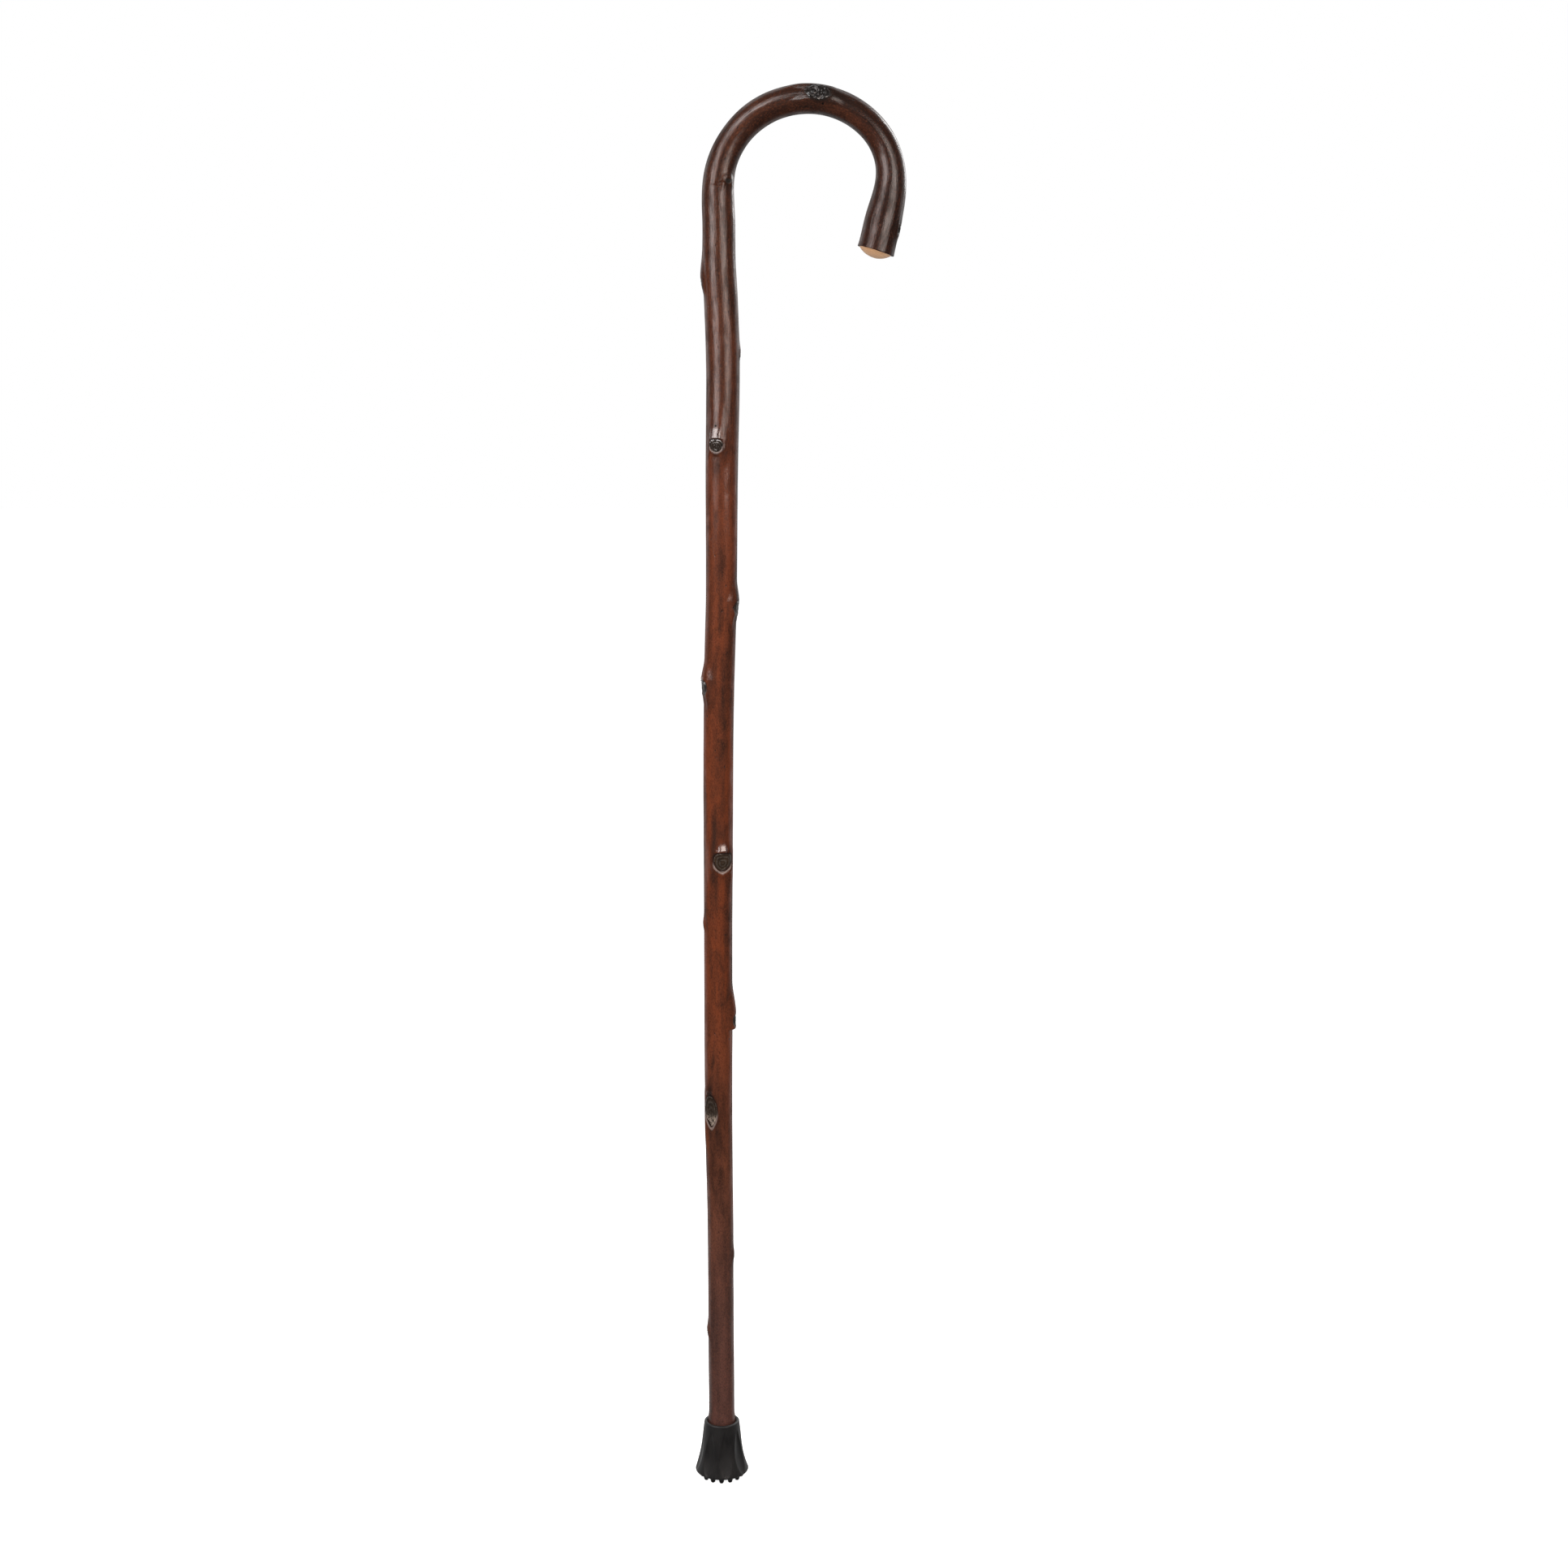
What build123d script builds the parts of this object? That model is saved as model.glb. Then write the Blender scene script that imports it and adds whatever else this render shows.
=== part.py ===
from build123d import *
import math
import os
from dataclasses import dataclass

# A crook-handled walking stick: one steam-bent chestnut stem with its bark left on, standing on a
# push-on rubber ferrule that has a steel washer in its socket.
# Millimetres. The origin is the centre of the tread on the floor, +Z runs up the stem, and +X points
# from the stem to the crook's nose. The stem's thick root end makes the handle, so the side branches
# grew downwards, towards the foot.

# ---------------------------------------------------------------- driving dimensions
BARK_THICKNESS = 1.1
NOSE_DOME_HEIGHT = 4.5            # the bare wood's dome, beyond the bark at the handle's end

FOOT_RADIUS = 9.15                # the round foot that the ferrule pushes onto
FOOT_LENGTH = 34.0

FERRULE_HEIGHT = 39.5
BASE_RADIUS = 17.8
LIP_RADIUS = 11.8
BELL = ((16.6, 9.5), (15.0, 15.3), (13.2, 27.0), (12.4, 33.0))   # (radius, height) up its side
EDGE_ROUND = 1.2
MOUTH_CHAMFER = 1.0

FLUTE_COUNT = 8
FLUTE_TURN = 11.0                 # degrees from the front to the first flute
FLUTE_LENGTH = 31.0
FLUTE_WIDTH = 10.0
FLUTE_DEPTH = 1.0
FLUTE_MIDDLE = 17.0               # height of the flutes' widest point

CLEAT_HEIGHT = 3.8
CLEAT_RINGS = ((13.2, 14), (7.6, 8))     # (radius, count)
CLEAT_TIP_RADIUS = 1.1
CLEAT_ROOT_RADIUS = 2.3
BOSS_TIP_RADIUS = 2.8
BOSS_ROOT_RADIUS = 3.6

SOCKET_FLOOR = 9.0                # top of the rubber under the washer
WASHER_THICKNESS = 1.5
WASHER_RADIUS = 10.2              # wider than the socket, so that the rubber holds it in a groove
WASHER_HOLE_RADIUS = 2.5
CLEARANCE = 0.05                  # all round the foot and the washer

FOOT_END = SOCKET_FLOOR + WASHER_THICKNESS + 2 * CLEARANCE

# The stem's sway: height above the floor, and how far its centre stands towards +X there.
SWAY = (
    (75, -0.1), (135, -0.2), (190, -0.4), (250, -1.1), (310, -1.0), (375, -0.7), (440, -0.4),
    (500, 0.0), (560, 1.2), (600, 2.3), (650, 2.8), (700, 3.4), (745, 3.9), (785, 2.6), (815, 1.5),
)
# The crook leaves the stem here, leaning back a little, and turns through two arcs to a straight
# tail. Each arc is its radius and its angle.
CROOK_START = (1.2, 840.3)
CROOK_LEAN = 5.5
CROOK_ARCS = ((55.4, 134.7), (44.9, 64.5))
TAIL_LENGTH = 34.3

# The stem's outside radius, by distance along its centre from the sawn foot.
GIRTH = (
    (0, 9.15), (65, 9.2), (125, 8.95), (180, 9.0), (240, 9.35), (300, 9.55), (365, 9.45), (430, 9.6),
    (490, 9.9), (550, 10.1), (640, 10.25), (690, 10.45), (735, 10.75), (775, 10.7), (805, 10.35),
    (830, 10.1), (845, 9.5), (862, 8.95), (920, 9.0), (950, 8.75), (985, 8.7), (1001, 9.6),
    (1010, 10.4), (1018, 11.05), (1028, 11.5), (1044, 11.75),
)
SECTION_SPACING = 18.0            # between the rings that the stem is lofted through
SEAM_SIDE = 125.0


@dataclass
class Knot:
    """A side branch pruned close to the stem. along is how far the middle of its cut is from the
    sawn foot; side is degrees round from the front (-Y), positive towards the inside of the crook;
    swell is how far the bark stands up over it and slope how far that takes to run out above it."""

    along: float
    side: float
    radius: float
    swell: float
    slope: float


KNOTS = (
    Knot(92, -80, 2.4, 0.7, 10),
    Knot(145, 80, 1.8, 0.4, 9),
    Knot(241, -30, 3.6, 1.2, 20),
    Knot(309, 85, 4.4, 2.3, 20),
    Knot(371, -80, 1.7, 0.5, 9),
    Knot(414, 18, 4.6, 1.2, 10),
    Knot(526, -75, 4.2, 1.4, 12),
    Knot(579, 78, 3.2, 1.4, 14),
    Knot(681, -20, 3.5, 1.2, 26),
    Knot(736, 84, 1.8, 0.5, 9),
    Knot(781, -84, 3.2, 1.3, 18),
    Knot(842, 42, 1.8, 0.4, 7),
    Knot(928, -22, 4.4, 0.8, 9),
    Knot(1029, -72, 2.2, 0.3, 6),
    Knot(200, 170, 3.2, 1.1, 16),
    Knot(468, 205, 3.6, 1.2, 18),
    Knot(630, 165, 3.2, 1.1, 20),
    Knot(880, 200, 3.0, 0.8, 12),
)
BRANCH_ANGLE = 50.0               # between a side branch and the stem
BRANCH_TAPER = 0.35               # its radius at the root, as a share of that at the bark
PITH_GAP = 2.0                    # between a branch's root and the stem's centre
POCKET_GAP = 0.02                 # the hairline between a branch and the stem round it
SWELL_WIDTH = 1.6                 # a swelling's half width, in branch radii

UP = (Align.CENTER, Align.CENTER, Align.MIN)


# ---------------------------------------------------------------- the stem's centre
def swing(vector, angle):
    """The vector turned by angle in the crook's plane, from +Z towards +X."""
    return vector.rotate(Axis.Y, angle)


def inside(heading):
    """The direction square to the heading, towards the inside of the crook."""
    return swing(heading, 90)


def stem_path():
    """The line up the middle of the stem, from the sawn foot to the end of the bark at the nose."""
    foot_top = Vector(0, 0, FOOT_END + FOOT_LENGTH)
    point = Vector(CROOK_START[0], 0, CROOK_START[1])
    heading = swing(Vector(0, 0, 1), -CROOK_LEAN)
    stem = [foot_top] + [Vector(x, 0, z) for z, x in SWAY] + [point]
    edges = [Line((0, 0, FOOT_END), foot_top), Spline(*stem, tangents=[(0, 0, 1), heading])]
    for radius, angle in CROOK_ARCS:
        centre = point + inside(heading) * radius
        middle = centre + swing(point - centre, angle / 2)
        end = centre + swing(point - centre, angle)
        edges.append(ThreePointArc(point, middle, end))
        heading = swing(heading, angle)
        point = end
    edges.append(Line(point, point + heading * TAIL_LENGTH))
    return Wire(edges)


PATH = stem_path()
LENGTH = PATH.length


def girth(along):
    """The stem's outside radius at a distance along its centre."""
    for (a, radius_a), (b, radius_b) in zip(GIRTH, GIRTH[1:]):
        if along <= b:
            return radius_a + (radius_b - radius_a) * (along - a) / (b - a)
    return GIRTH[-1][1]


def sideways(heading, side):
    """The direction square to the heading at side degrees round the stem."""
    turn = math.radians(side)
    return Vector(0, -1, 0) * math.cos(turn) + inside(heading) * math.sin(turn)


def section_plane(along):
    """The plane square to the stem, with its normal pointing to the nose. Its x direction, where the
    stem's skin has its seam, is clear of every knot."""
    heading = PATH.tangent_at(along / LENGTH)
    origin = PATH.position_at(along / LENGTH)
    return Plane(origin=origin, x_dir=sideways(heading, SEAM_SIDE), z_dir=heading)


NOSE = section_plane(LENGTH)


def stem_solid(inset, overrun=0.0):
    """A solid along the stem, inset from the bark's surface and run on straight past both ends."""
    count = math.ceil((LENGTH - FOOT_LENGTH) / SECTION_SPACING)
    step = (LENGTH - FOOT_LENGTH) / count
    stations = [FOOT_LENGTH + step * i for i in range(count + 1)]
    rings = [Wire.make_circle(girth(s) - inset, section_plane(s)) for s in stations]
    solid = Solid.make_loft(rings)
    foot = Cylinder(FOOT_RADIUS - inset, FOOT_LENGTH + overrun, align=UP)
    solid += Pos(0, 0, FOOT_END - overrun) * foot
    if overrun:
        solid += NOSE * Cylinder(girth(LENGTH) - inset, overrun, align=UP)
    return solid


# ---------------------------------------------------------------- knots
def knot_frame(knot):
    """(point on the bark over the middle of the cut, outward direction, heading)"""
    plane = section_plane(knot.along)
    outward = sideways(plane.z_dir, knot.side)
    return plane.origin + outward * girth(knot.along), outward, plane.z_dir


def beyond_cut(knot):
    """The space that the pruning cut clears: its plane falls from the swelling's top, above the
    branch, to the bark below it."""
    surface, outward, heading = knot_frame(knot)
    tilt = math.atan2(knot.swell, 2 * knot.radius)
    normal = outward * math.cos(tilt) - heading * math.sin(tilt)
    reach = 4 * knot.slope
    return Plane(origin=surface + outward * knot.swell / 2, z_dir=normal) * Box(
        reach, reach, reach, align=UP
    )


def swelling(knot):
    """The bark's hump: a teardrop with a long slope above the branch and a short one below it."""
    surface, outward, heading = knot_frame(knot)
    half_width = SWELL_WIDTH * knot.radius
    run_out = math.sqrt(1 - (1 - knot.swell / half_width) ** 2)
    above = knot.slope / run_out
    below = 2.5 * knot.radius / run_out
    top = surface + heading * knot.radius + outward * knot.swell
    middle = top - outward * half_width
    spine = Plane(origin=middle, x_dir=heading, z_dir=outward.cross(heading))
    with BuildSketch(spine) as half:
        with BuildLine():
            EllipticalCenterArc((0, 0), above, half_width, 0, arc_size=90)
            EllipticalCenterArc((0, 0), below, half_width, 90, arc_size=90)
            Line((-below, 0), (above, 0))
        make_face()
    return revolve(half.sketch, Axis(middle, heading)) - beyond_cut(knot)


def branch(knot, gap=0.0):
    """The side branch itself, a cone from near the pith out past the bark; with a gap, its pocket."""
    surface, outward, heading = knot_frame(knot)
    lean = math.radians(BRANCH_ANGLE)
    growth = outward * math.sin(lean) - heading * math.cos(lean)
    depth = (girth(knot.along) - PITH_GAP) / math.sin(lean)
    length = depth + 3 * knot.swell + knot.radius
    root_radius = BRANCH_TAPER * knot.radius
    end_radius = root_radius + (knot.radius - root_radius) * length / depth
    base = Plane(origin=surface - growth * (depth + gap), z_dir=growth)
    return base * Cone(root_radius + gap, end_radius + gap, length + gap, align=UP)


# ---------------------------------------------------------------- the stick's pieces
def cut_pockets(solid):
    """The solid with a pocket for each branch."""
    for knot in KNOTS:
        solid -= branch(knot, POCKET_GAP)
    return solid


def make_bark():
    skin = stem_solid(0.0)
    for knot in KNOTS:
        skin += swelling(knot)
    return cut_pockets(skin - stem_solid(BARK_THICKNESS, overrun=5.0))


def make_wood_core():
    rim = girth(LENGTH) - BARK_THICKNESS
    dome_radius = (rim**2 + NOSE_DOME_HEIGHT**2) / (2 * NOSE_DOME_HEIGHT)
    ball = Pos(0, 0, NOSE_DOME_HEIGHT - dome_radius) * Sphere(dome_radius)
    dome = NOSE * (ball & Cylinder(rim, NOSE_DOME_HEIGHT + 1, align=UP))
    return cut_pockets(stem_solid(BARK_THICKNESS) + dome)


def make_branch_stubs():
    """Each branch, sawn off along its pruning cut."""
    return Compound(children=[branch(knot) - beyond_cut(knot) for knot in KNOTS])


# ---------------------------------------------------------------- the ferrule's pieces
def bell_section():
    """Half of the ferrule's section: the base, its rounded edge, the flaring side and the lip."""
    bore = FOOT_RADIUS + CLEARANCE
    mouth = FERRULE_HEIGHT - MOUTH_CHAMFER
    corner = EDGE_ROUND * (1 - math.cos(math.pi / 4))
    with BuildSketch(Plane.XZ) as section:
        with BuildLine():
            base = Line((0, CLEAT_HEIGHT), (BASE_RADIUS - EDGE_ROUND, CLEAT_HEIGHT))
            rim = ThreePointArc(
                base @ 1,
                (BASE_RADIUS - corner, CLEAT_HEIGHT + corner),
                (BASE_RADIUS, CLEAT_HEIGHT + EDGE_ROUND),
            )
            side = Spline(rim @ 1, *BELL, (LIP_RADIUS, FERRULE_HEIGHT - EDGE_ROUND))
            lip = ThreePointArc(
                side @ 1,
                (LIP_RADIUS - corner, FERRULE_HEIGHT - corner),
                (LIP_RADIUS - EDGE_ROUND, FERRULE_HEIGHT),
            )
            Polyline(lip @ 1, (bore, mouth), (0, mouth), base @ 0)
        make_face()
    return section.sketch


def flute():
    """The front flute's cutter, a scoop like a willow leaf leaning with the ferrule's side."""
    half_length = FLUTE_LENGTH / 2
    half_width = FLUTE_WIDTH / 2
    lean = math.degrees(math.atan2(BASE_RADIUS - LIP_RADIUS, FERRULE_HEIGHT - CLEAT_HEIGHT))
    side_radius = BELL[1][0]
    with BuildSketch(Plane.XZ) as leaf:
        Ellipse(half_width, half_length)
        with Locations((half_width, 0)):
            Rectangle(2 * half_width, 2 * half_length, mode=Mode.SUBTRACT)
    seat = Pos(0, -(side_radius + half_width - FLUTE_DEPTH), FLUTE_MIDDLE)
    return seat * Rot(-lean, 0, 0) * revolve(leaf.sketch, Axis.Z)


def make_cleats():
    """The tread: rings of tapered cleats round a centre boss, all ending on the floor."""
    studs = [Cone(BOSS_TIP_RADIUS, BOSS_ROOT_RADIUS, CLEAT_HEIGHT, align=UP)]
    stud = Cone(CLEAT_TIP_RADIUS, CLEAT_ROOT_RADIUS, CLEAT_HEIGHT, align=UP)
    for ring_radius, count in CLEAT_RINGS:
        studs += [Rot(0, 0, 360 * i / count) * Pos(0, -ring_radius, 0) * stud for i in range(count)]
    return studs


def make_ferrule():
    body = revolve(bell_section(), Axis.Z)
    socket = Cylinder(FOOT_RADIUS + CLEARANCE, FERRULE_HEIGHT, align=UP)
    groove = Cylinder(WASHER_RADIUS + CLEARANCE, WASHER_THICKNESS + 2 * CLEARANCE, align=UP)
    body -= Pos(0, 0, SOCKET_FLOOR) * (socket + groove)
    for i in range(FLUTE_COUNT):
        body -= Rot(0, 0, FLUTE_TURN + 360 * i / FLUTE_COUNT) * flute()
    return body + make_cleats()


def make_washer():
    disc = Cylinder(WASHER_RADIUS, WASHER_THICKNESS, align=UP)
    hole = Cylinder(WASHER_HOLE_RADIUS, WASHER_THICKNESS, align=UP)
    return Pos(0, 0, SOCKET_FLOOR + CLEARANCE) * (disc - hole)


def main():
    os.makedirs("parts", exist_ok=True)
    pieces = {
        "wood_core": make_wood_core(),
        "bark": make_bark(),
        "branch_stubs": make_branch_stubs(),
        "rubber_ferrule": make_ferrule(),
        "ferrule_washer": make_washer(),
    }
    for name, shape in pieces.items():
        export_step(shape, f"parts/{name}.step")


main()
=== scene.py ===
import math
from dataclasses import dataclass

import bpy
import numpy as np
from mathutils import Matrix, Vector
from mathutils.bvhtree import BVHTree


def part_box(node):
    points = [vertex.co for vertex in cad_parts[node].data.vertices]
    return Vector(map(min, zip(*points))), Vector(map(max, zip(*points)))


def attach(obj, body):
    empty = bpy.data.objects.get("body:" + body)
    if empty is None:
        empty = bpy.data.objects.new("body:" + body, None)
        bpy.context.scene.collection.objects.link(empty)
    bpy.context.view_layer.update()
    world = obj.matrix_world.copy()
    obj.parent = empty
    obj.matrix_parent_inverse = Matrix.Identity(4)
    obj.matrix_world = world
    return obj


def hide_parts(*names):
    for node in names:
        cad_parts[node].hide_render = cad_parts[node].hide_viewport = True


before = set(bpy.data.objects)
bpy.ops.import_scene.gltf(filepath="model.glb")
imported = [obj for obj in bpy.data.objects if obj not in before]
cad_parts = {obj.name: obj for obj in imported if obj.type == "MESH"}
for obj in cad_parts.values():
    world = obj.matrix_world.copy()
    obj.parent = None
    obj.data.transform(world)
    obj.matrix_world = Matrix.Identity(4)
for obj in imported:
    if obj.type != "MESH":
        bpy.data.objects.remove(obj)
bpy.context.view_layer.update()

# A crook-handled chestnut walking stick on a rubber ferrule. Lengths are millimetres until a mesh is
# written. "along" is the distance up the middle of the stem from the sawn foot, round the crook to its
# nose; "side" is the angle round it from the front, positive towards the inside of the crook.

MM = 0.001
RNG_SEED = 7
FULL_TURN = 2 * math.pi

BARK_THICKNESS = 1.1
NOSE_DOME_HEIGHT = 4.5
FOOT_GRIP_LENGTH = 30.0           # how much of the foot is inside the ferrule

BARK_SEGMENTS = 96
PLAIN_STEP = 2.0                  # between the bark's rings
KNOT_STEP = 0.50                  # between them near a knot
CORE_SEGMENTS = 64
CORE_STEP = 6.0


def turns_round(count):
    """Evenly spaced angles once round."""
    return np.arange(count) * FULL_TURN / count


def wrapped(turn):
    """An angle brought to between half a turn back and half a turn on."""
    return (turn + math.pi) % FULL_TURN - math.pi


# ---------------------------------------------------------------- the stem's line, read off the CAD
TRACE_STEP = 2.0
TRACE_RAYS = 24
TRACE_REACH = 25.0                # rays start this far out from the stem's centre
TRACE_OUTLIER = 0.3               # a ray this far off the others has hit a knot's swelling
TRACE_HITS = 0.8                  # fewer hits than this share of the rays is past the stem's end
TRACE_END_STEP = 0.02             # how closely the end is found
FIT_REACH = 14.0                  # a local cubic smooths the traced line over this distance each way


def tree_of(node):
    """A ray-casting tree of a CAD node."""
    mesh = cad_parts[node].data
    points = [v.co for v in mesh.vertices]
    return BVHTree.FromPolygons(points, [tuple(p.vertices) for p in mesh.polygons])


def ring_round(tree, centre, heading):
    """(shift towards the inside, radius) of the bark's ring about a centre, or None past its end."""
    inside = Vector((heading.z, 0, -heading.x))
    sines, distances = [], []
    for k in range(TRACE_RAYS):
        side = FULL_TURN * k / TRACE_RAYS
        out = inside * math.sin(side) - Vector((0, 1, 0)) * math.cos(side)
        start = centre + out * TRACE_REACH * MM
        hit = tree.ray_cast(start, -out, TRACE_REACH * MM)
        if hit[0] is not None:
            sines.append(math.sin(side))
            distances.append(TRACE_REACH - hit[3] / MM)
    if len(sines) < TRACE_RAYS * TRACE_HITS:
        return None
    sines, distances = np.array(sines), np.array(distances)
    true = np.abs(distances - np.median(distances)) < TRACE_OUTLIER
    table = np.stack([sines[true], np.ones(true.sum())], 1)
    shift, radius = np.linalg.lstsq(table, distances[true], rcond=None)[0]
    return shift, radius


def trace_stem():
    """Walks up the middle of the CAD's bark: rows of (along, x, z, radius)."""
    tree = tree_of("bark")
    low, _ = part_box("bark")
    point, heading = Vector((0, 0, low.z)), Vector((0, 0, 1))
    rows = []
    along, step = 0.0, TRACE_STEP
    while step > TRACE_END_STEP:
        ahead = point + heading * step * MM
        ring = ring_round(tree, ahead, heading)
        if ring is None:
            step /= 2
            continue
        inside = Vector((heading.z, 0, -heading.x))
        found = ahead + inside * ring[0] * MM
        along += (found - point).length / MM
        heading = (found - point).normalized()
        point = found
        rows.append((along, point.x / MM, point.z / MM, ring[1]))
    foot = (0.0, 0.0, low.z / MM, rows[0][3])
    return np.array([foot] + rows)


def smooth_trace(trace, spacing=0.5):
    """The traced line through local cubics: rows of (along, x, z, radius, heading x, heading z)."""
    rows = []
    for s in np.arange(0.0, trace[-1, 0] + spacing, spacing):
        s = min(s, trace[-1, 0])
        near = np.abs(trace[:, 0] - s) < FIT_REACH
        offset = trace[near, 0] - s
        weight = (1 - np.abs(offset / FIT_REACH) ** 3) ** 1.5
        cubic = np.polyfit(offset, trace[near, 1:], 3, w=weight)
        hx, hz = cubic[-2][:2] / np.hypot(*cubic[-2][:2])
        rows.append((s, *cubic[-1], hx, hz))
    return np.array(rows)


STEM = smooth_trace(trace_stem())
LENGTH = STEM[-1, 0]


def stem_at(along):
    """(x, z, radius, heading x, heading z) arrays; past either end the stem carries straight on."""
    inner = np.clip(along, 0.0, LENGTH)
    x, z, radius, hx, hz = (np.interp(inner, STEM[:, 0], STEM[:, k]) for k in range(1, 6))
    over = along - inner
    return x + hx * over, z + hz * over, radius, hx, hz


def girth(along):
    return stem_at(along)[2]


def on_stem(along, side, radius):
    """Points in metres at a distance from the stem's centre, as an array of x, y, z rows."""
    x, z, _, hx, hz = stem_at(along)
    inward = radius * np.sin(side)
    points = np.stack([x + hz * inward, -radius * np.cos(side), z - hx * inward], -1)
    return points * MM


# ---------------------------------------------------------------- the knots, read off the CAD
@dataclass
class Look:
    """What the CAD doesn't say about a knot. Heights and runs are in millimetres."""
    slope: float = 16.0     # the run of the swelling above the cut
    long: float = 1.0       # half the cut's length, in branch radii
    wide: float = 1.0       # half its width, in branch radii
    shift: float = 0.0      # how far its middle is up the stem from the branch's, in branch radii
    square: float = 2.6     # over 2, the cut's top is flatter than an ellipse's
    point: float = 2.0      # under 2, its bottom is sharper than an ellipse's
    tilt: float = 1.0       # 1 for a cut that falls to the bark at its foot, 0 for one along the stem
    brow: float = 0.0       # height of the bark that overhangs the cut's top edge
    brow_run: float = 3.0   # how far up it starts
    brow_wide: float = 0.7  # half its width, in half widths of the cut
    ridge: float = 0.3      # height of the bark that has grown over the cut's edge
    sink: float = 0.1       # how far the cut's lower part lies below the bark round it
    lip: float = 0.0        # height of the broken roll along the cut's top edge
    painted_glints: float = 0.0      # painted highlights: how many white glints are painted on that roll, 0 to 1
    burr: float = 0.3       # how lumpy and pitted the cut is, 0 to 1
    gloss: float = 0.3      # how thickly it's varnished, 0 to 1
    swirl: float = 0.0      # height of the curls in it
    brown: float = 0.2      # 0 for a black cut, 1 for a brown one
    crumbs: float = 0.0     # how much pale broken bark lies in its lower part, 0 to 1
    stain_and_shade: float = 0.4      # how dark the bark is round it, 0 to 1: part stain, part painted shade
    smear: float = -8.0     # how far the dark runs up past the cut, or down if negative: part stain, part painted shade
    crest_highlight: float = 0.25      # painted highlight: how pale the ridge's crest is painted under the cut, 0 to 1


@dataclass
class Knot:
    along: float
    side: float
    radius: float
    swell: float
    look: Look


SMALL = Look(slope=9, wide=0.9, ridge=0.15, burr=0.25, stain_and_shade=0.3)
# One look for each knot, from the foot to the nose.
LOOKS = (
    Look(slope=10, wide=0.85, burr=0.4, lip=0.15, stain_and_shade=0.3),
    SMALL,
    Look(),
    Look(
        slope=20, long=3.5, wide=1.4, shift=2.1, square=2.2, point=1.6, brow=0.5, brow_wide=0.5,
        burr=0.6, lip=0.3, gloss=1.0, brown=0.6, crumbs=1.0, stain_and_shade=1.0, smear=12, crest_highlight=0.8,
    ),
    Look(slope=22, long=1.1, wide=0.9, tilt=0.15, stain_and_shade=0.3),
    SMALL,
    Look(
        slope=24, long=1.62, wide=1.4, shift=0.49, square=4.0, point=1.75, brow=1.3, brow_run=5.5,
        brow_wide=0.46, ridge=0.6, sink=0.5, burr=0.15, gloss=0.5, brown=0.8, stain_and_shade=0.7, smear=26,
        crest_highlight=0.9,
    ),
    Look(slope=18, long=1.2, burr=0.4, brown=0.5),
    Look(
        slope=14, long=1.35, wide=1.4, shift=0.6, brow=0.3, brow_run=2.0, lip=0.5, painted_glints=0.9, burr=0.4,
        stain_and_shade=1.0, smear=-14,
    ),
    Look(slope=14, long=1.5, wide=1.7, brown=0.4, stain_and_shade=0.9, smear=-9),
    Look(slope=20),
    Look(
        slope=26, long=1.3, wide=1.3, square=3.2, brow=1.1, brow_run=8.0, brow_wide=0.8, ridge=0.4,
        sink=0.3, lip=0.7, painted_glints=1.0, burr=0.1, gloss=1.0, brown=0.3, stain_and_shade=1.0, smear=-17, crest_highlight=0.5,
    ),
    SMALL,
    Look(slope=18, wide=0.85, tilt=0.7, ridge=0.2, burr=0.2, stain_and_shade=0.2),
    Look(slope=7, long=0.9, wide=1.3, burr=0.6, ridge=0.15, stain_and_shade=0.35),
    Look(slope=12, brown=0.1),
    Look(
        slope=9, long=1.8, wide=1.2, shift=0.35, burr=0.7, swirl=0.3, ridge=0.1, gloss=0.45, brown=0.0,
        stain_and_shade=1.0, smear=22, crest_highlight=0.0,
    ),
    Look(slope=6, long=1.5, wide=0.9, burr=1.0, ridge=0.1, gloss=0.0, stain_and_shade=1.0),
)


def islands(mesh):
    """The point arrays, in millimetres, of a mesh's separate solids."""
    parent = list(range(len(mesh.vertices)))

    def root(i):
        while parent[i] != i:
            parent[i] = parent[parent[i]]
            i = parent[i]
        return i

    where = {}
    for v in mesh.vertices:
        key = tuple(round(c / MM, 3) for c in v.co)
        parent[v.index] = where.setdefault(key, v.index)
    for a, b in (e.vertices for e in mesh.edges):
        parent[root(a)] = root(b)
    groups = {}
    for v in mesh.vertices:
        groups.setdefault(root(v.index), []).append(v.co / MM)
    return [np.array(g) for g in groups.values() if len(g) > 8]


def read_knot(points):
    """(along, side, radius, swell) of the outer end of one branch stub."""
    apart = points[:, None, [0, 2]] - STEM[None, :, 1:3]
    nearest = np.argmin((apart**2).sum(-1), 1)
    x, z, girths, hx, hz = STEM[nearest, 1:].T
    inward = (points[:, 0] - x) * hz - (points[:, 2] - z) * hx
    distance = np.hypot(inward, points[:, 1])
    outer = distance > girths - 0.25
    along = STEM[nearest, 0][outer]
    side = np.arctan2(inward, -points[:, 1])[outer]
    middle = math.atan2(np.sin(side).mean(), np.cos(side).mean())
    spread = wrapped(side - middle)
    half_turn = 0.5 * (spread.max() - spread.min())
    return (
        0.5 * (along.max() + along.min()),
        middle + 0.5 * (spread.max() + spread.min()),
        half_turn * float(np.median(girths[outer])),
        float((distance - girths)[outer].max()),
    )


def read_knots():
    found = sorted(read_knot(p) for p in islands(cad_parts["branch_stubs"].data))
    knots = [Knot(*knot, look) for knot, look in zip(found, LOOKS)]
    for knot in knots:
        knot.along += knot.look.shift * knot.radius
    return knots


KNOTS = read_knots()


# ---------------------------------------------------------------- the bark's relief
LATTICE_BELOW = 8                 # lattice cells before the foot
LATTICE_SPARE = 20                # cells more than the stem's length takes, with those before the foot
LATTICE_GAIN = 1.6                # brings the smoothed values back to about -1 to 1


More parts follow.
